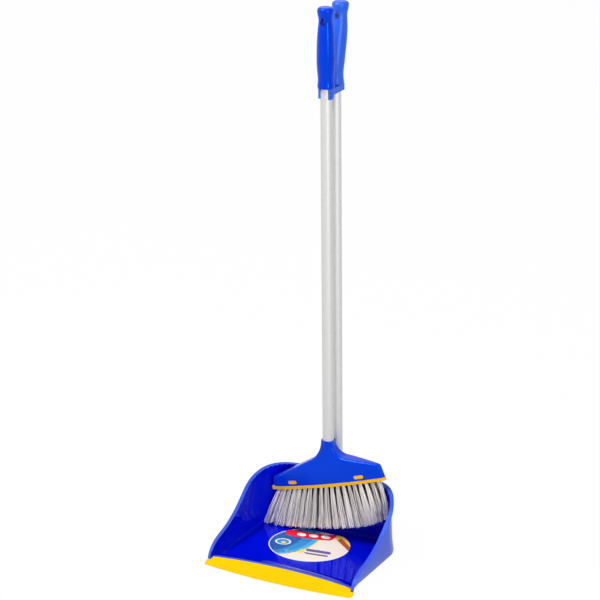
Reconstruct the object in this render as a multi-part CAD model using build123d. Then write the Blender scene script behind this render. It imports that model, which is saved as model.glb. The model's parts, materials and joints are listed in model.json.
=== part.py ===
"""Long-handled dust pan with an angled broom that hangs in a clip on the pan's tube.

Millimetres, +Z up. The origin is on the floor, in the middle of the pan's foot. The pan's
open mouth faces -Y, its handle stands at the back, and +X is the right-hand side.
"""

import math
import os

from build123d import *

os.makedirs("parts", exist_ok=True)

# ---------------------------------------------------------------- driving dimensions
# Fits
joined_gap = 0.1  # between pieces that are pressed, screwed or moulded together
loose_gap = 0.3  # between the broom and whatever it hangs on or stands beside

# Tubes
tube_d = 20.0
tube_wall = 0.9
tube_spacing = 33.5  # broom tube to pan tube
handle_top_z = 976.0  # top of the broom's grip
tube_in_grip = 48.0

# Pan tray
pan_width = 294.0  # over the rim
pan_depth = 215.0  # front of the side walls to the back of the rim
pan_front_y = -105.0
pan_wall = 2.4
floor_thick = 3.0
side_draft = 8.0  # each side wall curves out by this much, from the foot up
draft_height = 14.0  # how soon it does so
foot_flare = 7.5  # the foot widens again by this much, up to the lip
flare_run = 45.0
foot_corner_r = 40.0
corner_height = 20.0  # how soon the corners widen to the rim's
rim_corner_r = 80.0
foot_round = 9.0  # under the walls
rim_overhang = 4.6
rim_front_overhang = 2.4
rim_thick = 3.2
tube_behind_wall = 8.4  # axis of the pan's tube behind the outside of the rear wall
rim_line = [  # depth behind the front of the walls, height of the rim
    (0.0, 3.5),
    (4.0, 15.0),
    (15.0, 25.0),
    (60.0, 40.5),
    (105.0, 61.5),
    (150.0, 95.5),
    (180.0, 113.5),
    (215.0, 119.5),
]

# Comb on the back of the rim
comb_pitch = 9.0
comb_tooth_length = 2.8
comb_tooth_width = 6.0
comb_tooth_height = 7.0
comb_end_angle = 52.0  # how far the teeth run round each rear corner

# Lip and the ramp behind it
lip_end_inset = 2.0  # inside the edge of the rim, at each end
lip_front_reach = 12.0  # in front of the side walls, at the ends
lip_front_bow = 10.5
lip_back_reach = 6.5  # behind the front of the side walls, at the ends
lip_back_bow = 14.5
lip_edge_thick = 1.2
mouth_room = 60.0  # open space kept in front of the walls, past the lip
lip_back_height = 8.0
lip_corner_r = 4.5
ramp_rise = 1.4  # crest of the ramp over the back of the lip
ramp_run = 26.0

# Tube socket on the back of the pan
socket_wall = 2.4
socket_top_z = 150.0
socket_depth = 58.0
socket_foot_z = 44.0
thread_d = 15.0
thread_length = 22.0
thread_collar = 3.0
thread_shank = 30.0

# Clip between the tubes
clip_top_z = 837.0
clip_arm_height = 11.0
clip_finger_height = 18.0
clip_wall = 3.4
clip_wrap_angle = 48.0  # finger tips, from straight ahead
clip_corner_r = 6.0
clip_finger_back = 3.0  # the deep fingers end this far behind the broom tube's axis

# Grips
grip_foot_r = 14.5
grip_belly_r = 15.9
grip_neck_r = 12.3
grip_cap_r = 14.5
grip_cap_round = 6.0
grip_lean = 20.0  # how far the top of the pan's grip leans back
grip_straight_share = 0.3  # of its length, before the lean begins
hang_hole_r = 4.6
hang_hole_length = 15.5
hang_hole_from_top = 25.5

# Broom head, in its own tilted frame: u along it, v up from the middle of the flange
head_tilt = 15.6
flange_mid_z = 108.3
flange_length = 236.0
flange_depth = 35.0
flange_end_depth = 11.0  # the head narrows towards its ends, in plan
flange_end_r = 5.0
flange_thick = 5.5
shell_left_inset = 5.0  # from the ends of the flange
shell_right_inset = 0.5
shell_inset = 0.8  # behind the edge of the flange
shell_top_depth = 28.0  # at the shoulders, where the head is thinner
shoulder_to_full = 15.0  # from the right shoulder up to where the shell has that depth
neck_taper = 25.0  # from there up to the neck
neck_run = 35.0  # straight part of the neck
shell_wall = 1.6
shell_edge_round = 5.3
left_shoulder_inset = 2.5  # from the ends of the shell
right_shoulder_inset = 3.5
left_shoulder_v = 20.5
right_shoulder_v = 26.8
shoulder_apex_v = 58.0  # where the lines of the two shoulders meet, inside the neck
shoulder_r = 9.0
left_neck_r = 46.0
right_neck_r = 25.0
neck_half_width = 13.0
collar_top_z = 192.0
collar_wall = 1.6
collar_proud = 0.6  # of the neck that it stands on
head_socket_depth = 30.0
core_roof = 6.0  # plastic over each hollow in the head
core_to_screw = 7.0  # plastic beside the screw

# Bristle block
block_rise = 11.5  # above the flange, inside the shell
block_end_inset = 4.6  # from the ends of the shell
tab_spacing = 138.0
tab_length = 18.5
tab_height = 6.6
tab_v = 9.6
tab_proud = 0.3  # how far a tab stops short of the shell's face

# Tufts
row_counts = (19, 14, 14, 19)  # front row first
row_splay = (-2.0, -0.7, 0.7, 2.0)  # how far the tips stand out to the front or back
tuft_pitch = 11.1
tuft_edge = 5.6  # outer rows inside the edge of the flange
tuft_root_r = 2.6
tuft_tip_half_width = 4.6
tuft_tip_half_depth = 3.4
tuft_in_block = 9.0
tuft_hole_depth = 11.0
tuft_drift = 4.0  # of the middle tufts' tips, towards -X
tip_line_v = -79.0  # the tips, at the middle of the row
tip_line_bow = 0.0005  # how fast the tips rise towards the ends, per mm squared
tip_floor_gap = 0.8
anchor_width = 1.6
anchor_thick = 0.5

# Sticker on the pan's floor
sticker_centre = (-13.5, 31.0)
sticker_half_width = 75.0
sticker_half_depth = 66.0
sticker_back_y = 88.0  # where its rear is cut straight
sticker_thick = 0.2

# ---------------------------------------------------------------- derived places
tube_r = tube_d / 2
bore_r = tube_r + joined_gap
pan_back_y = pan_front_y + pan_depth
rim_top_z = rim_line[-1][1]
lip_half_width = pan_width / 2 - lip_end_inset
wall_half_width = pan_width / 2 - rim_overhang
wall_back_y = pan_back_y - rim_overhang
pan_tube_y = wall_back_y + tube_behind_wall
broom_tube_y = pan_tube_y - tube_spacing
clip_bottom_z = clip_top_z - clip_arm_height
grip_length = handle_top_z - clip_top_z
tube_top_z = clip_top_z + tube_in_grip
tray_stations = (0.0, 0.08, 0.18, 0.32, 0.6, 1.0)  # shares of a tray's height


def save(shape, node):
    """Write one node, as a group when it holds several solids."""
    solids = shape.solids()
    export_step(solids[0] if len(solids) == 1 else Compound(children=list(solids)), f"parts/{node}.step")


def upright(radius, bottom_z, top_z, x=0.0, y=0.0):
    """A plain upright cylinder."""
    disc = Pos(x, y, bottom_z) * Circle(radius)
    return extrude(disc, top_z - bottom_z)


# ---------------------------------------------------------------- pan tray
def tray_plan(inset, z, front_y, front_inset):
    """The tray's outline at height z, drawn in by inset, or by front_inset at its mouth."""
    low = math.exp(-z / draft_height)
    half = wall_half_width - side_draft * low - inset
    mouth_half = wall_half_width - (side_draft - foot_flare) * low - front_inset
    flare_y = pan_front_y + flare_run
    slope = 2 * (mouth_half - half) / flare_run
    back_y = wall_back_y - inset
    wide_r = rim_corner_r - rim_overhang
    corner_r = wide_r - (wide_r - foot_corner_r) * math.exp(-z / corner_height)
    left, right = [
        Spline(
            (side * mouth_half, pan_front_y),
            (side * half, flare_y),
            tangents=[(-side * slope, 1), (0, 1)],
        )
        for side in (-1, 1)
    ]
    back = Polyline((-half, flare_y), (-half, back_y), (half, back_y), (half, flare_y))
    front = Line((-mouth_half, front_y), (mouth_half, front_y))
    runs = [left, right, back, front]
    if front_y < pan_front_y:
        runs += [Line((x, front_y), (x, pan_front_y)) for x in (-mouth_half, mouth_half)]
    face = make_face(Curve() + runs)
    return Pos(0, 0, z) * fillet(face.vertices().sort_by(Axis.Y)[-2:], corner_r - inset)


def tray_block(inset, bottom_z, top_z, front_y=pan_front_y, round_r=0.0, front_inset=None):
    """A solid tray, with its lower edge rounded along the sides and back."""
    at_mouth = inset if front_inset is None else front_inset
    heights = [bottom_z + (top_z - bottom_z) * share for share in tray_stations]
    block = loft([tray_plan(inset, z, front_y, at_mouth) for z in heights])
    if round_r > 0:
        low = block.edges().filter_by_position(Axis.Z, bottom_z - 0.01, bottom_z + 0.01)
        block = fillet([e for e in low if e.center().Y > front_y + 1], round_r)
    return block


def under_rim_line(back_shift=0.0, drop=0.0):
    """Everything below the rim's line, which falls in an S from the back to the front."""
    points = [(0, pan_front_y + d + back_shift, z - drop) for d, z in rim_line]
    curve = Spline(*points)
    first, last = points[0], points[-1]
    low_z = -10.0 - drop
    far_y = pan_back_y + 20.0
    rest = Polyline(last, (0, far_y, last[2]), (0, far_y, low_z), (0, first[1], low_z), first)
    side = make_face(curve + rest)
    return extrude(side, pan_width, both=True)


def comb_teeth():
    """Upright prisms inside the back of the rim, cut to the rim's height later."""
    inner_r = rim_corner_r - rim_overhang - pan_wall
    inner_y = wall_back_y - pan_wall
    straight_half = wall_half_width - pan_wall - inner_r
    count = int(straight_half // comb_pitch)
    places = [(i * comb_pitch, inner_y, 0.0) for i in range(-count, count + 1)]
    step = math.degrees(comb_pitch / inner_r)
    for i in range(1, int(comb_end_angle // step) + 1):
        turn = math.radians(i * step)
        x = straight_half + inner_r * math.sin(turn)
        y = inner_y - inner_r + inner_r * math.cos(turn)
        places += [(x, y, -i * step), (-x, y, i * step)]
    root = 1.2  # how far a tooth reaches back into the wall
    tooth = make_face(
        Polyline(
            (-comb_tooth_width / 2, root),
            (comb_tooth_width / 2, root),
            (comb_tooth_width / 2, 0),
            (0, -comb_tooth_length),
            (-comb_tooth_width / 2, 0),
            close=True,
        )
    )
    return [extrude(Pos(x, y, rim_top_z / 2) * Rot(0, 0, a) * tooth, rim_top_z) for x, y, a in places]


def bowed(x, end_value, bow):
    """A place along the lip, which bows out by bow in the middle."""
    return end_value + bow * (1 - (x / lip_half_width) ** 2)


def lip_front(x):
    return pan_front_y - bowed(x, lip_front_reach, lip_front_bow)


def lip_back(x):
    return pan_front_y + bowed(x, lip_back_reach, lip_back_bow)


def swept_across(section, half_width):
    """Loft a section of (y, z) corners across the pan."""
    stations = [half_width * i / 2 for i in range(-2, 3)]
    faces = [make_face(Polyline(*[(x, y, z) for y, z in section(x)], close=True)) for x in stations]
    return loft(faces)


def lip_section(x):
    return [
        (lip_front(x), 0),
        (lip_front(x), lip_edge_thick),
        (lip_back(x), lip_back_height),
        (lip_back(x), 0),
    ]


def lip_corner(side):
    """What is cut away to round a front corner of the lip."""
    r, spare = lip_corner_r, 2.0
    y = lip_front(lip_half_width - r) + r
    square = Pos(side * (lip_half_width + (spare - r) / 2), y - (spare + r) / 2) * Rectangle(
        r + spare, r + spare
    )
    disc = Pos(side * (lip_half_width - r), y) * Circle(r)
    return extrude(Pos(0, 0, -spare) * (square - disc), lip_back_height + spare)


def ramp_section(x):
    crest_z = lip_back_height + ramp_rise
    y = lip_back(x) + joined_gap
    return [
        (y, floor_thick / 2),
        (y, lip_back_height - 0.4),
        (y + 3.5, crest_z),
        (y + 6, crest_z - 0.3),
        (y + ramp_run, floor_thick),
        (y + ramp_run, floor_thick / 2),
    ]


inner_tray = tray_block(
    pan_wall, floor_thick, rim_top_z + 20, pan_front_y - mouth_room, foot_round - pan_wall
)
below_rim = under_rim_line()
rim_band = below_rim - under_rim_line(rim_thick * 0.8, rim_thick * 0.8)
shell = (tray_block(0, 0, rim_top_z + 10, round_r=foot_round) - inner_tray) & below_rim
rim_block = tray_block(-rim_overhang, 0, rim_top_z + 10, front_inset=-rim_front_overhang)
rim = (rim_block - inner_tray) & rim_band
tray = shell + rim
comb_band = below_rim - under_rim_line(0, comb_tooth_height)
for tooth in comb_teeth():
    tray += tooth & comb_band

socket_r = bore_r + socket_wall
thread_bore_r = thread_d / 2 + joined_gap
socket_seat_z = socket_top_z - socket_depth
thread_foot_z = socket_seat_z - thread_collar - thread_length
socket_cone = loft(
    [
        Pos(0, pan_tube_y, socket_foot_z) * Circle(socket_r / 3),
        Pos(0, pan_tube_y, thread_foot_z - 4) * Circle(socket_r),
    ]
)
tray += upright(socket_r, thread_foot_z - 4, socket_top_z, y=pan_tube_y) + socket_cone
tray -= upright(bore_r, socket_seat_z - thread_collar, socket_top_z + 1, y=pan_tube_y)
tray -= upright(thread_bore_r, thread_foot_z - 1, socket_seat_z, y=pan_tube_y)

lip = swept_across(lip_section, lip_half_width)
for side in (-1, 1):
    lip -= lip_corner(side)
before_pan = Pos(0, pan_front_y - mouth_room, 0) * Box(2 * pan_width, 2 * mouth_room, rim_top_z)
lip = (lip & before_pan) + ((lip - before_pan) & inner_tray)
ramp = swept_across(ramp_section, wall_half_width)
pan_body = tray + (ramp & tray_block(pan_wall / 2, 0, rim_top_z))


# ---------------------------------------------------------------- tubes and their screw ends
def tube(y, bottom_z):
    return upright(tube_r, bottom_z, tube_top_z, y=y) - upright(
        tube_r - tube_wall, bottom_z - 1, tube_top_z + 1, y=y
    )


def screw_end(y, seat_z):
    """A plug pressed into a tube's lower end, with a collar and a screw below it."""
    shank_r = tube_r - tube_wall - joined_gap
    plug = upright(shank_r, seat_z - 1, seat_z + thread_shank, y=y)
    plug += upright(tube_r, seat_z - thread_collar + joined_gap, seat_z - joined_gap, y=y)
    screw = upright(thread_d / 2, seat_z - thread_collar - thread_length + 1, seat_z, y=y)
    return plug + chamfer(screw.faces().sort_by(Axis.Z)[0].edges(), 1.5)


# ---------------------------------------------------------------- clip
def clip_part(height, round_r):
    """Outline of the clip, taken down from its top: two seats joined by two arms."""
    half = bore_r + clip_wall
    spacing = tube_spacing
    back = spacing + half - 1.0
    outline = Circle(half) + Pos(0, back / 2) * Rectangle(2 * half, back)
    outline = fillet(outline.vertices().sort_by(Axis.Y)[-2:], round_r)
    mouth_x = 2 * half * math.sin(math.radians(clip_wrap_angle))
    mouth_y = -2 * half * math.cos(math.radians(clip_wrap_angle))
    mouth = make_face(Polyline((0, 0), (mouth_x, mouth_y), (-mouth_x, mouth_y), close=True))
    web_y = spacing - bore_r - clip_wall
    pocket = Pos(0, web_y / 2) * Rectangle(2 * bore_r - 2, web_y)
    outline -= Circle(tube_r + loose_gap) + mouth + pocket + Pos(0, spacing) * Circle(bore_r)
    return extrude(Pos(0, broom_tube_y, clip_top_z - height) * outline, height)


def broom_clip():
    """The clip, with deeper fingers round the broom's tube than the arms behind them."""
    finger_end_y = broom_tube_y + clip_finger_back
    fingers = Pos(0, finger_end_y - pan_depth / 2, clip_top_z) * Box(
        pan_width, pan_depth, 2 * clip_top_z
    )
    body = clip_part(clip_arm_height, clip_corner_r)
    body += clip_part(clip_finger_height, clip_corner_r) & fingers
    low_z = clip_top_z - clip_finger_height
    feet = [
        e
        for e in body.edges()
        if abs(e.center().Z - low_z) < 0.01 and e.center().Y > finger_end_y - 0.1
    ]
    return fillet(feet, clip_finger_height - clip_arm_height - 0.5)


# ---------------------------------------------------------------- grips
def drop_shape():
    """The outline of a hanging hole: round below, with a point on top."""
    tip = hang_hole_length - hang_hole_r
    touch_z = hang_hole_r**2 / tip
    touch_x = math.sqrt(hang_hole_r**2 - touch_z**2)
    point = make_face(Polyline((-touch_x, touch_z), (touch_x, touch_z), (0, tip), close=True))
    return Plane.XZ * (Circle(hang_hole_r) + point)


def grip(y, foot_z, lean):
    """A moulded grip on a tube's end: waisted under its cap, with a hole to hang it by."""
    profile = [  # share of the length, radius
        (0.0, grip_foot_r),
        (0.06, grip_foot_r - 0.1),
        (0.22, grip_belly_r - 0.6),
        (0.43, grip_belly_r),
        (0.62, grip_belly_r - 1.0),
        (0.77, grip_neck_r + 0.7),
        (0.85, grip_neck_r),
        (0.92, grip_cap_r - 0.4),
        (0.96, grip_cap_r),
        (1.0, grip_cap_r - 0.4),
    ]

    def back(share):
        bent = max(0.0, share - grip_straight_share) / (1 - grip_straight_share)
        return lean * math.sin(min(1.0, bent) * math.pi / 2)

    def place(share):
        step = 0.02
        slope = (back(share + step) - back(share - step)) / (2 * step * grip_length)
        tilt = math.degrees(math.atan(slope))
        return Pos(0, y + back(share), foot_z + share * grip_length) * Rot(-tilt, 0, 0)

    body = loft([place(share) * Circle(radius) for share, radius in profile])
    body = fillet(body.edges().sort_by(Axis.Z)[-1], grip_cap_round)
    hole = extrude(drop_shape(), 3 * grip_belly_r, both=True)
    body -= place(1 - hang_hole_from_top / grip_length) * hole
    return body - upright(bore_r, foot_z - 1, tube_top_z + joined_gap, y=y)


# ---------------------------------------------------------------- broom head
shell_left_u = -flange_length / 2 + shell_left_inset
shell_right_u = flange_length / 2 - shell_right_inset
left_shoulder = (shell_left_u + left_shoulder_inset, left_shoulder_v)
right_shoulder = (shell_right_u - right_shoulder_inset, right_shoulder_v)
shoulder_rise = shoulder_apex_v - (left_shoulder_v + right_shoulder_v) / 2
shoulder_grade = shoulder_rise / ((right_shoulder[0] - left_shoulder[0]) / 2)
head_frame = Pos(0, broom_tube_y, flange_mid_z) * Rot(0, -head_tilt, 0)
tilt_sin = math.sin(math.radians(head_tilt))
tilt_cos = math.cos(math.radians(head_tilt))
head_seat_z = collar_top_z - head_socket_depth
collar_r = bore_r + collar_wall
neck_top_r = collar_r - collar_proud
flange_top_v = flange_thick / 2
shell_foot_v = flange_top_v + joined_gap
block_top_v = flange_top_v + block_rise
block_mid_u = (shell_left_u + shell_right_u) / 2
bow_rise = (flange_depth - flange_end_depth) / 2
bow_r = ((flange_length / 2) ** 2 + bow_rise**2) / (2 * bow_rise)
thread_bottom_z = head_seat_z - thread_collar - thread_length


def in_head(x, z):
    """A place in the front view, as (u, v) along and across the tilted head."""
    rise = z - flange_mid_z
    return (x * tilt_cos + rise * tilt_sin, rise * tilt_cos - x * tilt_sin)


def shoulder_meets_neck(shoulder, grade, x):
    """Where the line of a shoulder crosses the side of the neck, which is upright at x."""
    u = (x + tilt_sin * (shoulder[1] - grade * shoulder[0])) / (tilt_cos - tilt_sin * grade)
    return (u, shoulder[1] + grade * (u - shoulder[0]))


def shell_outline():
    """Front view of the head: two shoulders that fall away from an upright neck."""
    left_neck = shoulder_meets_neck(left_shoulder, shoulder_grade, -neck_half_width)
    right_neck = shoulder_meets_neck(right_shoulder, -shoulder_grade, neck_half_width)
    corners = [
        (shell_left_u, shell_foot_v),
        left_shoulder,
        left_neck,
        in_head(-neck_top_r, collar_top_z),
        in_head(neck_top_r, collar_top_z),
        right_neck,
        right_shoulder,
        (shell_right_u, shell_foot_v),
    ]
    face = make_face(Polyline(*corners, close=True))
    for corner, radius in (
        (left_shoulder, shoulder_r),
        (right_shoulder, shoulder_r),
        (left_neck, left_neck_r),
        (right_neck, right_neck_r),
    ):
        vertex = face.vertices().sort_by_distance(Vector(*corner))[0]
        face = fillet(vertex, radius)
    return Plane.XZ * face


def shell_side():
    """Side view of the head: thick at the flange and drawn in towards the collar."""
    shoulder_v = right_shoulder[1] + shoulder_to_full
    neck_v = shoulder_v + neck_taper
    half = flange_depth / 2 - shell_inset
    front = [
        (-half, shell_foot_v),
        (-half + 0.4, right_shoulder[1] * 0.7),
        (-shell_top_depth / 2, shoulder_v),
        (-neck_top_r, neck_v),
        (-neck_top_r, neck_v + neck_run),
    ]
    back = [(-y, v) for y, v in reversed(front)]
    outline = Spline(*front) + Line(front[-1], back[0]) + Spline(*back) + Line(back[-1], front[0])
    return Plane.YZ * make_face(outline)


def lens_half(u, inset):
    """Half the head's depth at u, drawn in by inset from the edge of the flange."""
    return math.sqrt((bow_r - inset) ** 2 - u**2) - (bow_r - flange_depth / 2)


def lens_plan(left_u, right_u, inset):
    """The head in plan: bowed front and back, cut straight at the ends."""
    side = Circle(bow_r - inset)
    off = bow_r - flange_depth / 2
    face = (Pos(0, off) * side) & (Pos(0, -off) * side)
    length = right_u - left_u
    return face & Pos((left_u + right_u) / 2, 0) * Rectangle(length, flange_depth)


def block_riser(gap):
    """The part of the block that stands up inside the shell, grown by gap."""
    side_inset = shell_inset + shell_wall + joined_gap - gap
    end_inset = block_end_inset - gap
    plan = lens_plan(shell_left_u + end_inset, shell_right_u - end_inset, side_inset)
    return extrude(Pos(0, 0, flange_top_v) * plan, block_rise + gap)


def snap_tabs(gap):
    """The four tabs that hold the block, as two bars through it, grown by gap."""
    oval = SlotOverall(tab_length + 2 * gap, tab_height + 2 * gap)
    places = [block_mid_u - tab_spacing / 2, block_mid_u + tab_spacing / 2]
    return [extrude(Pos(u, 0, tab_v) * (Plane.XZ * oval), flange_depth, both=True) for u in places]


def shell_core(shoulder, inner_u):
    """A hollow under one shoulder, open to the block below it."""
    side = math.copysign(1, shoulder[0])
    grade = -side * shoulder_grade
    roof = shoulder[1] - core_roof
    outer_u = shoulder[0] - side * core_roof
    floor_v = block_top_v - 1
    corners = [
        (inner_u, floor_v),
        (outer_u, floor_v),
        (outer_u, roof + grade * (outer_u - shoulder[0])),
        (inner_u, roof + grade * (inner_u - shoulder[0])),
    ]
    section = Plane.XZ * make_face(Polyline(*corners, close=True))
    wide = lens_plan(shell_left_u, shell_right_u, shell_inset + 2 * shell_wall)
    hollow = extrude(section, shell_top_depth / 2 - shell_wall, both=True)
    return hollow & extrude(wide, flange_length)


def shoulder_line(u):
    """Height of the straight shoulders, as if they ran on to meet under the neck."""
    left = left_shoulder[1] + shoulder_grade * (u - left_shoulder[0])
    return min(left, right_shoulder[1] - shoulder_grade * (u - right_shoulder[0]))


def broom_head():
    plan = lens_plan(shell_left_u, shell_right_u, shell_inset)
    head = extrude(shell_outline(), flange_depth, both=True)
    head &= extrude(plan, flange_length)
    head &= extrude(shell_side(), flange_length, both=True)
    collar_v = in_head(0, collar_top_z)[1] - 2
    rims = [
        e
        for e in head.edges()
        if shoulder_line(e.center().X) - core_roof < e.center().Z < collar_v
        and abs(e.tangent_at(0.5).Y) < 0.9
    ]
    head = fillet(rims, shell_edge_round)
    head -= block_riser(joined_gap)
    for bar in snap_tabs(joined_gap):
        head -= bar
    screw_left = in_head(-bore_r, thread_bottom_z)[0]
    screw_right = in_head(bore_r, head_seat_z)[0]
    head -= shell_core(left_shoulder, screw_left - core_to_screw)
    head -= shell_core(right_shoulder, screw_right + core_to_screw)
    head = head_frame * head
    head += upright(collar_r, head_seat_z, collar_top_z, y=broom_tube_y)
    head -= upright(bore_r, head_seat_z - thread_collar, collar_top_z + 1, y=broom_tube_y)
    return head - upright(thread_bore_r, thread_bottom_z, head_seat_z, y=broom_tube_y)


# ---------------------------------------------------------------- bristles
def octagon(half_width, half_depth):
    corners = [math.radians(45 * i + 22.5) for i in range(8)]
    points = [(half_width * math.cos(a), half_depth * math.sin(a)) for a in corners]
    return make_face(Polyline(*points, close=True))


def tuft_root(row, i):
    """Where a tuft leaves the underside of the flange."""
    u = (i - (row_counts[row] - 1) / 2) * tuft_pitch
    outer = lens_half(u, tuft_edge)
    inner = max(outer / 3, tuft_root_r + 2 * joined_gap)
    depth = outer if abs(row_splay[row]) == max(row_splay) else inner
    x = u * tilt_cos + flange_top_v * tilt_sin
    z = flange_mid_z + u * tilt_sin - flange_top_v * tilt_cos
    return Vector(x, broom_tube_y + math.copysign(depth, row_splay[row]), z)


def tip_limit(side):
    """How far out the tips of the front (-1) or back (1) rows may lie, to lift past the pan."""
    half_row = (max(row_counts) - 1) * tuft_pitch / 2
    tip_y = broom_tube_y + side * (lens_half(half_row, tuft_edge) + max(row_splay))
    limits = []
    for corner_r, half_width, inset in (
        (foot_corner_r, wall_half_width - side_draft, pan_wall + foot_round / 2),
        (rim_corner_r - rim_overhang, wall_half_width, pan_wall + comb_tooth_length),
    ):
        room = corner_r - inset - 2 * loose_gap - tuft_tip_half_width
        beside = tip_y - (wall_back_y - corner_r)
        limits.append(half_width - corner_r + math.sqrt(max(0, room**2 - beside**2)))
    return min(limits)


def tuft_tip(row, i):
    """The middle of a tuft's tip: evenly spaced along the row, and clear of the floor."""
    root = tuft_root(row, i)
    share = (i - (row_counts[row] - 1) / 2) / ((max(row_counts) - 1) / 2)
    x = tip_limit(math.copysign(1, row_splay[row])) * share - tuft_drift * (1 - share**2)
    rise = (x * tilt_sin + tip_line_v) / tilt_cos
    rise += tip_line_bow * (x * tilt_cos + rise * tilt_sin) ** 2
    tilted = tuft_tip_half_width * abs(x - root.X) / abs(rise)
    low_z = floor_thick + tip_floor_gap + tilted
    return Vector(x, root.Y + row_splay[row], max(low_z, flange_mid_z + rise))


def tuft_plane(row, i, along):
    """The plane across a tuft, at a distance along it from the underside of the flange."""
    root, tip = tuft_root(row, i), tuft_tip(row, i)
    down = (tip - root).normalized()
    return Plane(origin=root + down * along, x_dir=(1, 0, 0), z_dir=down)


def tuft(row, i):
    length = (tuft_tip(row, i) - tuft_root(row, i)).length
    root = octagon(tuft_root_r, tuft_root_r)
    tip = octagon(tuft_tip_half_width, tuft_tip_half_depth)
    sections = [
        tuft_plane(row, i, -tuft_in_block) * root,
        tuft_plane(row, i, 0) * root,
        tuft_plane(row, i, length) * tip,
    ]
    return loft(sections, ruled=True)


def tuft_hole(row, i):
    hole_r = tuft_root_r + joined_gap
    hole = extrude(octagon(hole_r, hole_r), tuft_hole_depth + tuft_in_block)
    return tuft_plane(row, i, -tuft_hole_depth) * hole


def anchor(row, i):
    """The strip of wire over the fold of a tuft, at the bottom of its hole."""
    strip = Box(2 * tuft_root_r - 1, anchor_thick, anchor_width)
    lift = (tuft_in_block + tuft_hole_depth) / 2
    return tuft_plane(row, i, -lift).location * strip


def all_tufts():
    return [(row, i) for row in range(len(row_counts)) for i in range(row_counts[row])]


def bristle_block():
    plan = lens_plan(-flange_length / 2, flange_length / 2, 0)
    plan = fillet(plan.vertices(), flange_end_r)
    block = extrude(Pos(0, 0, -flange_top_v) * plan, flange_thick)
    block += block_riser(0)
    reach = lens_plan(shell_left_u, shell_right_u, shell_inset + tab_proud)
    for bar in snap_tabs(0):
        block += bar & extrude(reach, flange_length)
    return head_frame * block - [tuft_hole(row, i) for row, i in all_tufts()]


# ---------------------------------------------------------------- sticker
def floor_sticker():
    oval = Ellipse(sticker_half_width, sticker_half_depth)
    spare = 2 * sticker_half_depth
    beyond = Pos(0, sticker_back_y - sticker_centre[1] + spare / 2) * Rectangle(
        4 * sticker_half_width, spare
    )
    return extrude(Pos(*sticker_centre, floor_thick) * (oval - beyond), sticker_thick)


# ---------------------------------------------------------------- all nodes
save(pan_body, "pan_body")
save(lip, "pan_lip")
save(floor_sticker(), "floor_sticker")
save(tube(pan_tube_y, socket_seat_z), "pan_tube")
save(screw_end(pan_tube_y, socket_seat_z), "pan_screw_end")
save(grip(pan_tube_y, clip_top_z, grip_lean), "pan_grip")
save(broom_clip(), "broom_clip")
save(broom_head(), "broom_head")
save(bristle_block(), "bristle_block")
for row in range(len(row_counts)):
    tufts = [tuft(row, i) for i in range(row_counts[row])]
    save(Compound(children=tufts), f"bristle_row_{row + 1}")
save(Compound(children=[anchor(row, i) for row, i in all_tufts()]), "tuft_anchors")
save(tube(broom_tube_y, head_seat_z), "broom_tube")
save(screw_end(broom_tube_y, head_seat_z), "broom_screw_end")
save(grip(broom_tube_y, clip_top_z + loose_gap, 0.0), "broom_grip")
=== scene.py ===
"""Dresses a long-handled dust pan and its broom.

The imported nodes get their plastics, aluminium and printed sticker. The solid tufts of the broom
are replaced by loose filaments, and a white studio with a camera and two lamps is set up.
"""

import json
import math
import random
from collections import namedtuple

import bmesh
import bpy
import numpy as np
from mathutils import Matrix, Vector
from mathutils.bvhtree import BVHTree


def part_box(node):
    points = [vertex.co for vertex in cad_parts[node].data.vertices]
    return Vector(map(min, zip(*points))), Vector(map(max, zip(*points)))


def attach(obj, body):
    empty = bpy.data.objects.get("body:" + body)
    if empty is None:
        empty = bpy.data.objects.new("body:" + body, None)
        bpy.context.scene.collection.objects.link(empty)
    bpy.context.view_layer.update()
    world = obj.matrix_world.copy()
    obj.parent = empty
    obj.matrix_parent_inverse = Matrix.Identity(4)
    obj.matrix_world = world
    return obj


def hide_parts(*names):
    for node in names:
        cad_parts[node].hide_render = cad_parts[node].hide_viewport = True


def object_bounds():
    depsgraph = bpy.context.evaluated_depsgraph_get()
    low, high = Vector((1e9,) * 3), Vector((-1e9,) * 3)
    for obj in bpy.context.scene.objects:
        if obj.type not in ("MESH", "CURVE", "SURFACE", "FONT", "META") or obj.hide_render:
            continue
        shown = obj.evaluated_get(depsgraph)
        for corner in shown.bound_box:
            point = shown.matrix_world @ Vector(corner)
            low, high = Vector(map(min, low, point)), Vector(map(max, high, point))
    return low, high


bl_info = {
    "name": "Long-handled Dust Pan and Broom",
    "version": (1, 0, 0),
    "blender": (4, 5, 0),
    "location": "View3D > Sidebar > Dust Pan",
    "description": "Gives a dust pan and broom their plastics, tubes, bristles and studio",
    "category": "Object",
}

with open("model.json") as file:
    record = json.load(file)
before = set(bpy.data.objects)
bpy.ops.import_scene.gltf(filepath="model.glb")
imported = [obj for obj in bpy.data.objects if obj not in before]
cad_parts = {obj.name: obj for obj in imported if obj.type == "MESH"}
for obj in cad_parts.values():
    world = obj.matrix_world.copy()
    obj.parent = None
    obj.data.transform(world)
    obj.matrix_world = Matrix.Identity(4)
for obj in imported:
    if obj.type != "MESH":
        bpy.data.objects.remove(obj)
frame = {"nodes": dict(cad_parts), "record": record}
CAD_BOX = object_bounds()
MM = 0.001

HEAD_NODES = ("broom_head", "broom_grip")
GRIP_NODES = ("pan_grip", "broom_clip")
TUBE_NODES = ("pan_tube", "broom_tube")
SCREW_NODES = ("pan_screw_end", "broom_screw_end")

Row = namedtuple("Row", "node flare root_shade reach")
# root_shade is painted shade: each row's filaments are darkened towards the block, most in rows 2
# and 3, for the shade between the tufts.
ROWS = (  # share of the flare, darkening towards the block, furthest place to the left
    Row("bristle_row_1", 1.0, 0.15, -131.5 * MM),
    Row("bristle_row_2", 0.6, 1.7, -126 * MM),
    Row("bristle_row_3", 0.2, 1.7, -119 * MM),
    Row("bristle_row_4", 0.0, 0.15, -110 * MM),
)

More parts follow.
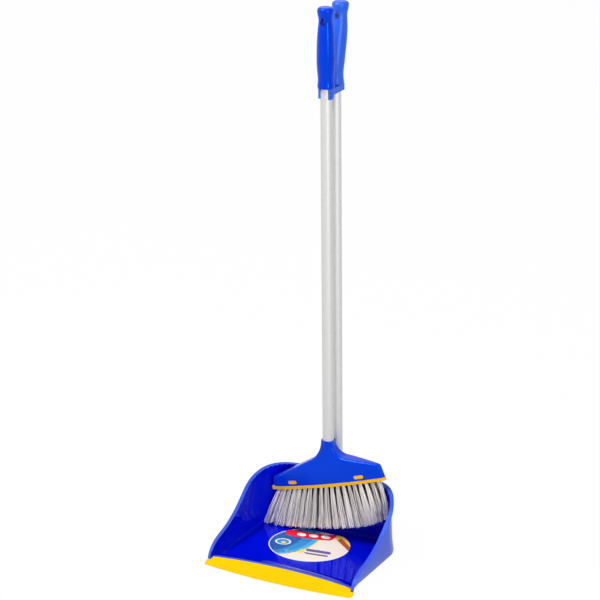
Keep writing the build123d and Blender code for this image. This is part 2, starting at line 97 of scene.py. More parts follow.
# A tuft of loose filaments: where it starts and ends, its directions, fan and bow.
Tuft = namedtuple("Tuft", "root tip down side front fan swell")

# Half sizes of a tuft of loose filaments, at the block and at its tip.
TUFT_ROOT = 2.0 * MM
TUFT_TIP_WIDE = 4.6 * MM
TUFT_TIP_DEEP = 3.4 * MM
TUFT_END_RIM = 2.2 * MM  # corners of a solid tuft this near to its end belong to that end
WELD = 0.01 * MM  # corners nearer than this are one
FILAMENT_CUTS = (0.3, 0.65)  # where a filament can bend, from root to tip
FAN_AT_FLARE = 0.5  # how much wider the tips of a tuft are where the row flares most
RAGGED = 3 * MM  # how unevenly the tips end at the row's furthest place to the left
LOWEST_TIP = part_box("pan_lip")[0][2] + 4.2 * MM
FLARE_POWER = 1.5  # how soon the flare starts, from the middle to the row's left end
SHORTENING = 0.5  # spread of how much a filament is shortened, as a share of its unevenness
TUFT_TONE = 0.08  # how much lighter or darker one tuft may be than the next
MIDDLE_TONE = 0.90
TONE_SPREAD = 0.22
# The tufts' darkening towards the block is painted shade.
SHADE_POWER = 1.5  # how soon the tufts darken towards the block

PAN_CLEARANCE = 1.0 * MM  # least room between a filament's middle line and the pan
PUSH_SPARE = 0.1 * MM  # added to each push off the pan
NEAR_PAN = 12 * MM  # a filament further than this from the pan can't be in its wall
PUSH_PLACES = [0.3 + 0.05 * step for step in range(15)]  # along a filament, root to tip
PUSH_TRIES = 30

# Plastics: tint of the gloss seen square on, roughness, depth of slow waves, refractive index.
Finish = namedtuple("Finish", "gloss_tint rough wave_depth index")
BLUE_GLOSS = (0.07, 0.4, 1.0)
PALE_BLUE_GLOSS = (0.4, 0.6, 1.0)
YELLOW_GLOSS = (1.0, 0.8, 0.05)
PLAIN_GLOSS = (1.0, 1.0, 1.0)
PAN_FINISH = Finish(BLUE_GLOSS, 0.05, 0.003 * MM, 1.24)
LIP_FINISH = Finish(YELLOW_GLOSS, 0.5, 0.03 * MM, 1.2)
HEAD_FINISH = Finish(BLUE_GLOSS, 0.22, 0.02 * MM, 1.5)
BLOCK_FINISH = Finish(YELLOW_GLOSS, 0.34, 0.02 * MM, 1.5)
GRIP_FINISH = Finish(PALE_BLUE_GLOSS, 0.36, 0.02 * MM, 1.5)
SCREW_FINISH = Finish(PLAIN_GLOSS, 0.4, 0.03 * MM, 1.5)
SCREW_GREY = (0.42, 0.43, 0.45)
WIRE_GREY = (0.62, 0.62, 0.64)
OUTER_ROUGHNESS = 0.2  # how much rougher the pan is outside than inside
PAN_MIDDLE = (0.0, -20 * MM, 0.0)

# Grain and scuffs of each kind of surface. A cloud is its darkest and lightest share of tint.
PLASTIC_GRAIN = {"Wave Size": 16 * MM, "Grain Size": 0.8 * MM}
PLASTIC_SCUFFS = {"Spacing": 10 * MM, "Turn": (0.2, 0.1, 0.7)}
PLASTIC_CLOUD = (0.90, 1.08)
SCUFF = 0.02  # how much a scuff pales and roughens moulded plastic
SCUFF_TINT = 0.75  # share of the plastic's own tint in a scuff
SCUFF_WHITE = 0.12  # white in a scuff
UNEVEN_GLOSS = 0.06  # how much the roughness of moulded plastic comes and goes
TUBE_SCUFFS = {"Spacing": 20 * MM, "Turn": (0.0, 1.4, 0.3)}
TUBE_CLOUD = (0.93, 1.06)
TUBE_SCUFF = 0.2
TUBE_SCUFF_TINT = 0.7
TUBE_ROUGHNESS = 0.48
TUBE_METAL = 0.6
DRAWN_LINES = 1400.0  # lines in a metre round the tube
DRAWN_STRETCH = (1.0, 1.0, 0.004)
DRAWN_DEPTH = 0.05 * MM
# The darkest share is near black, so that the painted shade near the block reads as deep shadow.
FILAMENT_CLOUD = (0.02, 1.25)
FILAMENT_SPECKS = 900.0  # specks in a metre
FILAMENT_ROUGHNESS = 0.34
PAPER_GRAIN = {"Wave Size": 30 * MM, "Grain Size": 0.7 * MM}
PAPER_CLOUD = (0.94, 1.03)
PAPER_ROUGHNESS = 0.24
PAPER_DEPTH = 0.1 * MM

# Lamps: place, what they point at, width and height, all in metres.
Lamp = namedtuple("Lamp", "name place aim size")
KEY_LAMP = Lamp("key_lamp", (-1.2, -1.2, 3.3), (0, 0, 0.2), (1.3, 1.3))
SIDE_LAMP = Lamp("side_lamp", (2.2, -1.5, 1.4), (0, 0, 0.35), (0.4, 2.2))
SENSOR_WIDTH = 36.0
WHITE = (1, 1, 1, 1)
FLOOR_WHITE = (0.9, 0.9, 0.9, 1)
FLOOR_ROUGHNESS = 0.9
FLOOR_GLOW = 0.985  # share of plain white in the floor as it is seen; the rest takes shadow


# ---------------------------------------------------------------- settings
def colour(name, text, value):
    """A colour that a user can change."""
    return bpy.props.FloatVectorProperty(
        name=name, description=text, default=value, subtype="COLOR", size=3, min=0, max=1
    )


def length(name, text, value):
    """A length that a user can change, in metres."""
    return bpy.props.FloatProperty(
        name=name, description=text, default=value, min=0, unit="LENGTH", precision=5
    )


class DustPanColours(bpy.types.PropertyGroup):
    """Colours of the plastics, the filaments and the tubes"""

    pan_blue: colour("Pan blue", "Glossy plastic inside the pan", (0.0, 0.004, 0.575))
    # The rim and outside colour is paler than the pan blue as painted sheen, standing in for the
    # reflection that lights the outside and the rim.
    rim_blue: colour("Rim blue", "Satin plastic outside and on the rim", (0.047, 0.098, 0.61))
    head_blue: colour("Head blue", "Satin plastic of head and broom grip", (0.0, 0.033, 0.585))
    grip_blue: colour("Grip blue", "Matt plastic of pan's grip and clip", (0.02, 0.104, 0.67))
    lip_yellow: colour("Lip yellow", "Soft plastic of the lip", (0.97, 0.54, 0.0))
    block_yellow: colour("Block yellow", "Plastic of the bristle block", (0.83, 0.42, 0.015))
    bristle_grey: colour("Bristle grey", "Filaments of the broom", (0.80, 0.755, 0.70))
    tube_silver: colour("Tube silver", "Drawn aluminium of both tubes", (0.61, 0.61, 0.60))


class BristleSizes(bpy.types.PropertyGroup):
    """Sizes of the filaments, and how their tufts lie"""

    per_tuft: bpy.props.IntProperty(
        name="Filaments", description="Filaments in each tuft", default=30, min=4, max=120
    )
    root_width: length("Root width", "Width of a filament at the block", 0.95 * MM)
    tip_width: length("Tip width", "Width of a filament at its tip", 0.80 * MM)
    stray: length("Stray", "How far a tip may wander from its place", 1.5 * MM)
    uneven: length("Uneven", "How much shorter a filament may be", 3.2 * MM)
    bend: length("Bend", "How far the middle of a filament bows out", 1.1 * MM)
    flare: length("Flare", "How far the front tufts at the left end fan out", 15.0 * MM)
    flare_run: length("Flare run", "How much of the row fans out", 34.0 * MM)
    lean: length("Lean", "How far the tips lean right, where they lean most", 21.0 * MM)
    lean_place: length("Lean place", "Where they lean most, right of the middle", 45.0 * MM)
    lean_run_left: length("Lean run left", "How soon the lean fades to the left", 55.0 * MM)
    lean_run_right: length("Lean run right", "How soon the lean fades to the right", 42.0 * MM)
    spread: bpy.props.FloatProperty(
        name="Spread", description="How much wider the tips are than a close tuft's",
        default=1.25, min=0.5,
    )
    swell: length("Swell", "How far the last tufts at the right bow out", 6.5 * MM)
    swell_run: length("Swell run", "How much of the row bows out there", 30.0 * MM)
    seed: bpy.props.IntProperty(name="Seed", description="Start of the random draws", default=7)


def point(name, text, value):
    """A point that a user can change, in metres."""
    return bpy.props.FloatVectorProperty(
        name=name, description=text, default=value, size=3, subtype="TRANSLATION", unit="LENGTH"
    )


def watts(name, text, value):
    """The power of a lamp."""
    return bpy.props.FloatProperty(
        name=name, description=text, default=value, min=0, subtype="POWER"
    )


class StudioSettings(bpy.types.PropertyGroup):
    """The camera, the lamps, the sky and the floor"""

    eye: point("Camera", "Place of the camera", (1.8850, -3.4752, 1.9172))
    aim: point("Aim", "Point that the camera looks at", (-0.0351, 0.045, 0.46146))
    roll: bpy.props.FloatProperty(
        name="Roll", description="Turn of the camera about its axis",
        default=math.radians(-0.575), subtype="ANGLE",
    )
    lens: bpy.props.FloatProperty(
        name="Lens", description="Focal length in millimetres", default=147.47, min=20
    )
    sky: bpy.props.FloatProperty(
        name="Sky", description="Strength of the soft light from all round", default=0.10, min=0
    )
    key: watts("Key", "Power of the large lamp at the left", 122.0)
    side: watts("Side", "Power of the lamp at the right", 54.0)
    floor_size: length("Floor", "Width of the floor", 9.0)


# ---------------------------------------------------------------- shader helpers
def feed(tree, value, socket):
    """Link a socket to another, or set it to a plain value."""
    if isinstance(value, bpy.types.NodeSocket):
        tree.links.new(value, socket)
    else:
        socket.default_value = value


def add_node(tree, kind, inputs=(), **settings):
    """Add one shader node, set its fields and fill or link its inputs."""
    made = tree.nodes.new(kind)
    for field, value in settings.items():
        setattr(made, field, value)
    for key, value in dict(inputs).items():
        feed(tree, value, made.inputs[key])
    return made


def math_node(tree, operation, first, second=0.0, third=0.0):
    """The result of one sum."""
    inputs = {0: first, 1: second, 2: third}
    return add_node(tree, "ShaderNodeMath", inputs, operation=operation).outputs[0]


def mix_colours(tree, share, first, second):
    """The colour that lies this share of the way from the first to the second."""
    inputs = {"Factor_Float": share, "A_Color": first, "B_Color": second}
    made = add_node(tree, "ShaderNodeMix", data_type="RGBA")
    for socket in made.inputs:
        if socket.identifier in inputs:
            feed(tree, inputs[socket.identifier], socket)
    return made.outputs[2]  # the first two are for numbers and directions


def ramp(tree, value, stops):
    """A colour ramp of (place, grey) stops."""
    made = add_node(tree, "ShaderNodeValToRGB", {0: value})
    bars = made.color_ramp.elements
    while len(bars) < len(stops):
        bars.new(0.5)
    for bar, (place, grey) in zip(bars, stops):
        bar.position = place
        bar.color = (grey, grey, grey, 1)
    return made.outputs[0]


def object_place(tree):
    """Where a surface lies on the object, in metres."""
    return tree.nodes.new("ShaderNodeTexCoord").outputs["Object"]


def noise(tree, vector, scale, **settings):
    """The height of a cloudy noise."""
    inputs = {"Vector": vector, "Scale": scale, **settings}
    return add_node(tree, "ShaderNodeTexNoise", inputs).outputs[0]


def bump(tree, skin, height, strength, depth):
    """Let a height of this depth bend the light on a surface."""
    inputs = {"Strength": strength, "Distance": depth, "Height": height}
    tree.links.new(add_node(tree, "ShaderNodeBump", inputs).outputs[0], skin.inputs["Normal"])


def fill_moulded_grain(group, start, end):
    """Fine unevenness of moulded plastic: slow waves, a small grain and a cloudy tone."""
    spot = object_place(group)
    wave_rate = math_node(group, "DIVIDE", 1.0, start["Wave Size"])
    grain_rate = math_node(group, "DIVIDE", 1.0, start["Grain Size"])
    wave = noise(group, spot, wave_rate, Detail=2.0)
    grain = noise(group, spot, grain_rate, Detail=1.0)
    height = math_node(group, "MULTIPLY_ADD", grain, 0.12, wave)
    group.links.new(height, end["Height"])
    group.links.new(wave, end["Tone"])


def fill_fine_scuffs(group, start, end):
    """Thin scratches left by use, more of them where a slow cloud allows."""
    spot = object_place(group)
    rate = math_node(group, "DIVIDE", 1.0, start["Spacing"])
    turned = add_node(
        group, "ShaderNodeMapping",
        {"Vector": spot, "Rotation": start["Turn"], "Scale": (1.0, 0.06, 0.35)},
    )
    lines = add_node(
        group, "ShaderNodeTexVoronoi", {"Vector": turned.outputs[0], "Scale": rate},
        feature="DISTANCE_TO_EDGE",
    )
    cloud = noise(group, spot, 14.0, Detail=3.0)
    thin = ramp(group, lines.outputs["Distance"], [(0.0, 1.0), (0.035, 0.0)])
    where = ramp(group, cloud, [(0.50, 0.0), (0.68, 1.0)])
    group.links.new(math_node(group, "MULTIPLY", thin, where), end["Mask"])


def fill_outside_mask(group, start, end):
    """White where a surface faces away from a middle point."""
    facing = group.nodes.new("ShaderNodeNewGeometry").outputs["Normal"]
    away = add_node(
        group, "ShaderNodeVectorMath", {0: object_place(group), 1: start["Middle"]},
        operation="SUBTRACT",
    )
    unit = add_node(
        group, "ShaderNodeVectorMath", {0: away.outputs[0]}, operation="NORMALIZE"
    )
    dot = add_node(
        group, "ShaderNodeVectorMath", {0: unit.outputs[0], 1: facing}, operation="DOT_PRODUCT"
    )
    mask = ramp(group, dot.outputs["Value"], [(0.10, 0.0), (0.28, 1.0)])
    group.links.new(mask, end["Mask"])


def fill_oval_mask(group, start, end):
    """White inside an oval given by its centre and half sizes, in metres."""
    split = add_node(group, "ShaderNodeSeparateXYZ", {0: object_place(group)})
    terms = []
    for axis, half in (("X", "Half Width"), ("Y", "Half Depth")):
        away = math_node(group, "SUBTRACT", split.outputs[axis], start[f"Centre {axis}"])
        share = math_node(group, "DIVIDE", away, start[half])
        terms.append(math_node(group, "MULTIPLY", share, share))
    total = math_node(group, "ADD", *terms)
    group.links.new(math_node(group, "LESS_THAN", total, 1.0), end["Mask"])


def fill_band_mask(group, start, end):
    """White inside a bowed band given by its direction, middle, half width and curve."""
    split = add_node(group, "ShaderNodeSeparateXYZ", {0: object_place(group)})
    x, y = split.outputs["X"], split.outputs["Y"]
    cos = math_node(group, "COSINE", start["Turn"])
    sin = math_node(group, "SINE", start["Turn"])
    along = math_node(group, "MULTIPLY_ADD", y, sin, math_node(group, "MULTIPLY", x, cos))
    across_x = math_node(group, "MULTIPLY", x, sin)
    across_y = math_node(group, "MULTIPLY", y, cos)
    across = math_node(group, "SUBTRACT", across_y, across_x)
    squared = math_node(group, "MULTIPLY", along, along)
    bent = math_node(group, "MULTIPLY_ADD", squared, start["Curve"], across)
    off = math_node(group, "SUBTRACT", bent, start["Middle"])
    inside = math_node(
        group, "LESS_THAN", math_node(group, "ABSOLUTE", off), start["Half Width"]
    )
    group.links.new(inside, end["Mask"])


SHADER_GROUPS = {  # what fills each group, its inputs with their defaults, and its outputs
    "Moulded Grain": (
        fill_moulded_grain, {"Wave Size": 20 * MM, "Grain Size": 0.6 * MM}, ("Height", "Tone")
    ),
    "Fine Scuffs": (fill_fine_scuffs, {"Spacing": 12 * MM, "Turn": (0, 0, 0)}, ("Mask",)),
    "Outside Mask": (fill_outside_mask, {"Middle": (0, 0, 0)}, ("Mask",)),
    "Oval Mask": (
        fill_oval_mask,
        {"Centre X": 0.0, "Centre Y": 0.0, "Half Width": 10 * MM, "Half Depth": 10 * MM},
        ("Mask",),
    ),
    "Band Mask": (
        fill_band_mask,
        {"Turn": 0.0, "Middle": 0.0, "Half Width": 10 * MM, "Curve": 0.0},
        ("Mask",),
    ),
}


def shader_group(name):
    """The node group of this name, built on its first use."""
    if name not in bpy.data.node_groups:
        fill, inputs, outputs = SHADER_GROUPS[name]
        group = bpy.data.node_groups.new(name, "ShaderNodeTree")
        for label, value in inputs.items():
            kind = "NodeSocketFloat" if isinstance(value, float) else "NodeSocketVector"
            socket = group.interface.new_socket(name=label, in_out="INPUT", socket_type=kind)
            socket.default_value = value
        for label in outputs:
            group.interface.new_socket(
                name=label, in_out="OUTPUT", socket_type="NodeSocketFloat"
            )
        start = group.nodes.new("NodeGroupInput").outputs
        fill(group, start, group.nodes.new("NodeGroupOutput").inputs)
    return bpy.data.node_groups[name]


def place_group(tree, name, values):
    """Put a node group in a material with its own values, and return its outputs."""
    made = tree.nodes.new("ShaderNodeGroup")
    made.node_tree = shader_group(name)
    for key, value in values.items():
        made.inputs[key].default_value = value
    return made.outputs


def new_material(name):
    """A new material, its node tree and its main shader."""
    material = bpy.data.materials.new(name)
    material.use_nodes = True
    tree = material.node_tree
    return material, tree, tree.nodes["Principled BSDF"]


def shade(tint, share):
    """A colour made darker or lighter, with its alpha."""
    return (*[min(1.0, c * share) for c in tint], 1)


def moulded_plastic(name, tint, finish):
    """Injection-moulded plastic: an even colour with cloudy tone, grain and fine scuffs."""
    material, tree, skin = new_material(name)
    grain = place_group(tree, "Moulded Grain", PLASTIC_GRAIN)
    marks = place_group(tree, "Fine Scuffs", PLASTIC_SCUFFS)
    cloudy = mix_colours(tree, grain["Tone"], *[shade(tint, c) for c in PLASTIC_CLOUD])
    worn = math_node(tree, "MULTIPLY", marks["Mask"], SCUFF)
    pale = (*[SCUFF_TINT * c + SCUFF_WHITE for c in tint], 1)
    tree.links.new(mix_colours(tree, worn, cloudy, pale), skin.inputs["Base Color"])
    least_rough = finish.rough - UNEVEN_GLOSS / 2
    uneven = math_node(tree, "MULTIPLY_ADD", grain["Tone"], UNEVEN_GLOSS, least_rough)
    rubbed = math_node(tree, "MULTIPLY_ADD", marks["Mask"], SCUFF, uneven)
    tree.links.new(rubbed, skin.inputs["Roughness"])
    bump(tree, skin, grain["Height"], 1.0, finish.wave_depth)
    skin.inputs["IOR"].default_value = finish.index
    skin.inputs["Specular Tint"].default_value = (*finish.gloss_tint, 1)
    return material


def pan_plastic(name, inner, outer_with_painted_sheen):
    """The pan's plastic: deep and glossy inside, satin outside, where its paler colour is painted
    sheen.
    """
    material = moulded_plastic(name, inner, PAN_FINISH)
    tree = material.node_tree
    skin = tree.nodes["Principled BSDF"]
    outside = place_group(tree, "Outside Mask", {"Middle": PAN_MIDDLE})["Mask"]
    base, rough = skin.inputs["Base Color"], skin.inputs["Roughness"]
    inner_colour, inner_rough = base.links[0].from_socket, rough.links[0].from_socket
    # The paler outside colour is painted sheen; the higher roughness outside is the plastic's own
    # satin finish.
    tree.links.new(mix_colours(tree, outside, inner_colour, (*outer_with_painted_sheen, 1)), base)
    rougher = math_node(tree, "MULTIPLY_ADD", outside, OUTER_ROUGHNESS, inner_rough)
    tree.links.new(rougher, rough)
    return material


def satin_tube(name, tint):
    """Drawn and anodised aluminium, with faint lines along the tube."""
    material, tree, skin = new_material(name)
    drawn = add_node(
        tree, "ShaderNodeMapping", {"Vector": object_place(tree), "Scale": DRAWN_STRETCH}
    )
    lines = noise(tree, drawn.outputs[0], DRAWN_LINES, Detail=3.0, Roughness=0.6)
    marks = place_group(tree, "Fine Scuffs", TUBE_SCUFFS)
    toned = mix_colours(tree, lines, *[shade(tint, c) for c in TUBE_CLOUD])
    worn = math_node(tree, "MULTIPLY", marks["Mask"], TUBE_SCUFF)
    worn_colour = mix_colours(tree, worn, toned, shade(tint, TUBE_SCUFF_TINT))
    tree.links.new(worn_colour, skin.inputs["Base Color"])
    rough = math_node(tree, "MULTIPLY_ADD", lines, 0.10, TUBE_ROUGHNESS)
    tree.links.new(rough, skin.inputs["Roughness"])
    bump(tree, skin, lines, 0.25, DRAWN_DEPTH)
    skin.inputs["Metallic"].default_value = TUBE_METAL
    return material


def bristle_finish(name, tint):
    """Drawn filament: grey, each with its own tone, and painted shade where the tufts are thick.
    """
    material, tree, skin = new_material(name)
    # The tone attribute holds each filament's own tone and the painted shade near the block.
    tone = add_node(tree, "ShaderNodeAttribute", attribute_name="tone").outputs["Fac"]
    toned = mix_colours(tree, tone, *[shade(tint, c) for c in FILAMENT_CLOUD])
    tree.links.new(toned, skin.inputs["Base Color"])
    specks = noise(tree, object_place(tree), FILAMENT_SPECKS)
    rough = math_node(tree, "MULTIPLY_ADD", specks, 0.2, FILAMENT_ROUGHNESS)
    tree.links.new(rough, skin.inputs["Roughness"])
    return material


# ---------------------------------------------------------------- sticker
def oval(x, y, half_x, half_y):
    """An oval shape, in millimetres."""
    sizes = {"Centre X": x, "Centre Y": y, "Half Width": half_x, "Half Depth": half_y}
    return "Oval Mask", {label: size * MM for label, size in sizes.items()}


def band(turn, middle, half, curve=0.0):
    """A band shape: its direction in degrees, sizes in millimetres, and curve per metre."""
    sizes = {"Middle": middle * MM, "Half Width": half * MM}
    return "Band Mask", {"Turn": math.radians(turn), "Curve": curve, **sizes}


STICKER_CREAM = (0.88, 0.78, 0.68)
STICKER_SKY = (0.05, 0.41, 0.70)
STICKER_TEAL = (0.01, 0.25, 0.58)
STICKER_DEEP = (0.0, 0.09, 0.36)
STICKER_RED = (0.84, 0.01, 0.02)
STICKER_YELLOW = (0.92, 0.65, 0.08)
STICKER_RUST = (0.50, 0.09, 0.01)
STICKER_VIOLET = (0.12, 0.10, 0.30)
STICKER_WHITE = (0.88, 0.88, 0.88)

INSIDE_BORDER = oval(-13.5, 31, 73.2, 64.2)

# What is printed, from the bottom layer up: colour, and the shapes that it lies inside.
PRINT_LAYERS = [
    (STICKER_CREAM, [INSIDE_BORDER]),
    (STICKER_YELLOW, [oval(-74, 44, 69, 81), INSIDE_BORDER]),
    (STICKER_SKY, [oval(-74, 44, 66, 78), INSIDE_BORDER]),
    (STICKER_TEAL, [oval(-78, 42, 60, 72), INSIDE_BORDER]),
    (STICKER_DEEP, [oval(-90, 34, 52, 62), INSIDE_BORDER]),
    (STICKER_SKY, [oval(-40, -6, 4, 3.4)]),
    (STICKER_SKY, [oval(-31, -13, 3, 2.5)]),
    (STICKER_TEAL, [oval(-24, -5, 2, 1.7)]),
    (STICKER_YELLOW, [oval(52, 96, 46, 34)]),
    (STICKER_RUST, [band(-38, 74, 5), oval(52, 66, 30, 30)]),
    (STICKER_RED, [band(14, 69, 12, -2.4), oval(-34, 76, 48, 40)]),
    (STICKER_WHITE, [oval(-46, 62, 9, 6)]),
    (STICKER_WHITE, [oval(-24, 67, 9, 6)]),
    (STICKER_WHITE, [oval(-2, 72, 9, 6)]),
    (STICKER_WHITE, [oval(-62, 22, 15, 12)]),
    (STICKER_TEAL, [oval(-62, 22, 12, 9.5)]),
    (STICKER_YELLOW, [oval(-60, 20, 5, 4)]),
    (STICKER_VIOLET, [band(8, 12, 5), oval(14, 14, 24, 13)]),
    (STICKER_VIOLET, [band(8, -1, 3), oval(14, 4, 24, 10)]),
    (STICKER_YELLOW, [oval(-14, 2, 5, 9)]),
]


def printed_film(name):
    """Glossy printed paper film: plain shapes in flat inks on a white border."""
    material, tree, skin = new_material(name)
    paper = place_group(tree, "Moulded Grain", PAPER_GRAIN)
    ink = mix_colours(tree, paper["Tone"], *[shade(STICKER_WHITE, c) for c in PAPER_CLOUD])
    for tint, shapes in PRINT_LAYERS:
        mask = None
        for kind, sizes in shapes:
            here = place_group(tree, kind, sizes)["Mask"]
            mask = here if mask is None else math_node(tree, "MULTIPLY", mask, here)
        ink = mix_colours(tree, mask, ink, (*tint, 1))
    tree.links.new(ink, skin.inputs["Base Color"])
    rough = math_node(tree, "MULTIPLY_ADD", paper["Tone"], 0.1, PAPER_ROUGHNESS)
    tree.links.new(rough, skin.inputs["Roughness"])
    bump(tree, skin, paper["Height"], 0.4, PAPER_DEPTH)
    return material


# ---------------------------------------------------------------- mesh helpers
def deselect():
    """Leave nothing selected, for the operators that follow."""
    bpy.ops.object.select_all(action="DESELECT")


def dress(node, material):
    """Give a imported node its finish."""
    piece = frame["nodes"][node]
    for spot in piece.material_slots:
        spot.material = material


def body_of(node):
    """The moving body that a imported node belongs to."""
    for body, nodes in frame["record"]["behaviour"]["bodies"].items():
        if node in nodes:
            return body
    raise RuntimeError(f"{node} is on no body")


def loose_parts(made):
    """The corners of each part of a mesh that hangs together, as lists of points."""
    seen = set()
    for first in made.verts:
        if first in seen:
            continue
        part, waiting = [], [first]
        seen.add(first)
        while waiting:
            here = waiting.pop()
            part.append(here.co.copy())
            for other in (edge.other_vert(here) for edge in here.link_edges):
                if other not in seen:
                    seen.add(other)
                    waiting.append(other)
        yield part


def tuft_ends(node):
    """The root and tip of every solid tuft of a row, as (root, tip) centres from the left."""
    made = bmesh.new()
    made.from_mesh(frame["nodes"][node].data)
    bmesh.ops.remove_doubles(made, verts=made.verts, dist=WELD)
    ends = []
    for part in loose_parts(made):
        part.sort(key=lambda p: p.z)
        line = part[-1] - part[0]
        along = [(p - part[0]).dot(line) / line.length for p in part]
        low = [p for p, a in zip(part, along) if a < min(along) + TUFT_END_RIM]
        high = [p for p, a in zip(part, along) if a > max(along) - TUFT_END_RIM]
        ends.append((sum(high, Vector()) / len(high), sum(low, Vector()) / len(low)))
    made.free()
    return sorted(ends, key=lambda pair: pair[0].x)


def model_filament():
    """One filament by hand: a slim four-sided cone, cut across so that it can bow."""
    deselect()
    bpy.ops.mesh.primitive_cone_add(
        vertices=4, radius1=0.5, radius2=0.5, depth=1.0, location=(0, 0, 0.5)
    )
    piece = bpy.context.active_object
    bpy.ops.object.mode_set(mode="EDIT")
    for cut in FILAMENT_CUTS:
        bpy.ops.mesh.select_all(action="SELECT")
        bpy.ops.mesh.bisect(plane_co=(0, 0, cut), plane_no=(0, 0, 1))
    bpy.ops.object.mode_set(mode="OBJECT")
    bpy.ops.object.transform_apply(location=True, rotation=True, scale=True)
    mesh = piece.data
    points = np.array([corner.co for corner in mesh.vertices])
    faces = [list(face.vertices) for face in mesh.polygons]
    bpy.data.objects.remove(piece)
    bpy.data.meshes.remove(mesh)
    return points, faces


def disc_places(count, chance):
    """Even places over a round disc of radius 1, in a spiral, each moved a little."""
    golden_angle = math.pi * (3 - math.sqrt(5))
    spots = []
    for i in range(count):
        out = math.sqrt((i + 0.5) / count)
        turn = golden_angle * i + chance.uniform(-0.5, 0.5)
        spots.append((out * math.cos(turn), out * math.sin(turn)))
    return spots


def pan_walls():
    """The pan's surface, for keeping the filaments off it."""
    pan = frame["nodes"]["pan_body"].data
    corners = [corner.co.copy() for corner in pan.vertices]
    return BVHTree.FromPolygons(corners, [tuple(face.vertices) for face in pan.polygons])


def bulge(share):
    """How much of its bow a filament has at this share of its way: all of it halfway."""
    return 4 * share * (1 - share)


def keep_clear(walls, start, end, bow):
    """Push a filament's end and bow back from the pan until the walls are free of it."""
    for _ in range(PUSH_TRIES):
        worst = PAN_CLEARANCE
        for share in PUSH_PLACES:
            spot = start + (end - start) * share + bow * bulge(share)
            way = spot - start
            near, normal, _face, _far = walls.ray_cast(start, way.normalized(), way.length)
            if near is None:
                near, normal, _face, _far = walls.find_nearest(spot, NEAR_PAN)
            room = worst if near is None else (spot - near).dot(normal)
            if room < worst:
                worst, at, out = room, share, normal
        if worst == PAN_CLEARANCE:
            return
        push = out * (PAN_CLEARANCE - worst + PUSH_SPARE) / (at * at + bulge(at) * bulge(at))
        end += push * at
        bow += push * bulge(at)


def lay_tuft(root, tip, left, right, flare, sizes):
    """One tuft, flared out near the row's left end and leaning right further on."""
    near_left = max(0.0, 1 - (root.x - left) / sizes.flare_run)
    near_right = max(0.0, 1 - (right - root.x) / sizes.swell_run)
    off = root.x - sizes.lean_place
    run = sizes.lean_run_left if off < 0 else sizes.lean_run_right
    tip.x -= flare * sizes.flare * near_left**FLARE_POWER
    tip.x += sizes.lean * math.exp(-((off / run) ** 2))
    down = (tip - root).normalized()
    side = Vector((1, 0, 0))
    side = (side - down * side.dot(down)).normalized()
    fan = sizes.spread * (1 + FAN_AT_FLARE * near_left)
    return Tuft(root, tip, down, side, down.cross(side), fan, near_right * sizes.swell)


def lay_filament(tuft, across, deep, reach, sizes, chance):
    """Start, end and bow of one filament, from its place in its tuft."""
    side, front = tuft.side, tuft.front
    start = tuft.root + side * (across * TUFT_ROOT) + front * (deep * TUFT_ROOT)
    end = tuft.tip.copy()
    end += side * (across * TUFT_TIP_WIDE * tuft.fan)
    end += front * (deep * TUFT_TIP_DEEP * sizes.spread)
    end += side * chance.gauss(0, sizes.stray) + front * chance.gauss(0, sizes.stray)
    end -= tuft.down * (abs(chance.gauss(0, SHORTENING)) * sizes.uneven)
    end.x = max(end.x, reach + chance.uniform(0, RAGGED))
    end.z = max(end.z, LOWEST_TIP)
    bow = side * chance.gauss(tuft.swell, sizes.bend)
    bow += front * chance.gauss(0, sizes.bend)
    return start, end, bow


def bend_filament(shape, start, end, bow, tuft, turn, sizes):
    """Corners of one filament, turned about itself, tapered and bent along its way."""
    z = shape[:, 2:3]
    wide = sizes.root_width * (1 - z) + sizes.tip_width * z
    cos, sin = math.cos(turn), math.sin(turn)
    x = (shape[:, 0:1] * cos - shape[:, 1:2] * sin) * wide
    y = (shape[:, 0:1] * sin + shape[:, 1:2] * cos) * wide
    line = np.array(start) + (np.array(end) - np.array(start)) * z
    line = line + np.array(bow) * bulge(z)
    return line + x * np.array(tuft.side) + y * np.array(tuft.front)


def grow_row(row, sizes, filament, walls, chance):
    """All the loose filaments of one row, as one mesh."""
    shape, faces = filament
    from_block = shape[:, 2]
    all_points, all_faces, tones_and_painted_shade = [], [], []
    ends = tuft_ends(row.node)
    left, right = ends[0][0].x, ends[-1][0].x
    for root, tip in ends:
        tuft = lay_tuft(root, tip, left, right, row.flare, sizes)
        tuft_tone = chance.uniform(-TUFT_TONE, TUFT_TONE)
        for across, deep in disc_places(sizes.per_tuft, chance):
            start, end, bow = lay_filament(tuft, across, deep, row.reach, sizes, chance)
            keep_clear(walls, start, end, bow)
            turn = chance.uniform(0, math.pi / 2)
            tone = MIDDLE_TONE + tuft_tone + chance.gauss(0, TONE_SPREAD)
            base = len(shape) * len(all_points)
            all_points.append(bend_filament(shape, start, end, bow, tuft, turn, sizes))
            all_faces += [[base + corner for corner in face] for face in faces]
            # Painted shade: the filament is darkened towards the block, standing in for the
            # shadow between the tufts.
            painted_shade_here = row.root_shade * (1 - from_block) ** SHADE_POWER
            tones_and_painted_shade.append(np.clip(tone - painted_shade_here, 0, 1))
    mesh = bpy.data.meshes.new(f"{row.node}_filaments")
    mesh.from_pydata(np.concatenate(all_points).tolist(), [], all_faces)
    # The tone stored here is the random tone less the painted shade.
    mesh.attributes.new("tone", "FLOAT", "POINT").data.foreach_set(
        "value", np.concatenate(tones_and_painted_shade).astype(np.float32)
    )
    mesh.update()
    piece = bpy.data.objects.new(mesh.name, mesh)
    bpy.context.scene.collection.objects.link(piece)
    return piece


